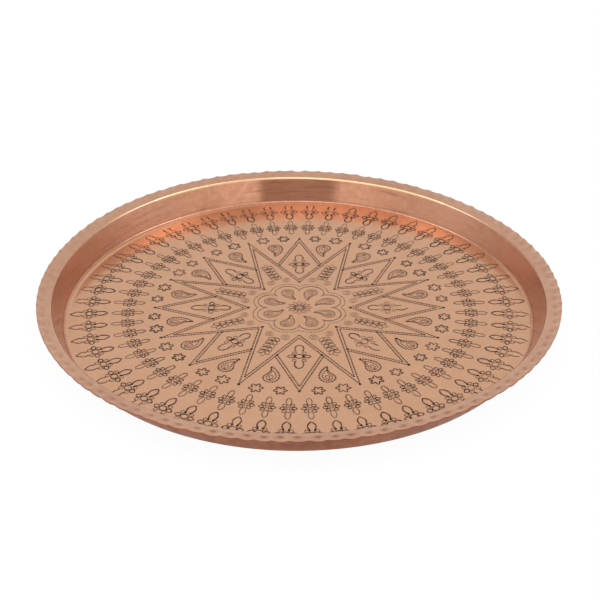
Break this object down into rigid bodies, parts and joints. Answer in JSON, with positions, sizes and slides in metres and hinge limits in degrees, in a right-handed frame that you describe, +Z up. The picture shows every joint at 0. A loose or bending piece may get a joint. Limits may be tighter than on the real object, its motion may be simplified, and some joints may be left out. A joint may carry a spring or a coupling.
{
  "type": "hammered copper tray",
  "caption": "Round copper serving tray with a flat floor, low flared wall, hammered flange and a black star pattern of traditional line work on the floor.",
  "frame": {"origin": "centre of the tray's flat underside, on the surface that it stands on", "axes": "+Z up through the centre of the floor, X and Y across the round floor"},
  "size_m": [0.35, 0.35, 0.0203],
  "materials": {
    "copper_sheet": "spun and polished copper sheet with a hammered rim",
    "black_line_work": "thin matt black lacquer lines, worn in places"
  },
  "bodies": {
    "root": {"tray_pan": "copper_sheet", "border_bud_lines": "black_line_work", "daisy_ring_lines": "black_line_work", "small_star_lines": "black_line_work", "outer_boteh_lines": "black_line_work", "big_star_lines": "black_line_work", "kite_lines": "black_line_work", "kite_flower_lines": "black_line_work", "sprig_lines": "black_line_work", "ringlet_lines": "black_line_work", "rosette_dots": "black_line_work", "rosette_outline": "black_line_work", "rosette_boteh_lines": "black_line_work", "centre_flower_lines": "black_line_work"}
  },
  "joints": []
}
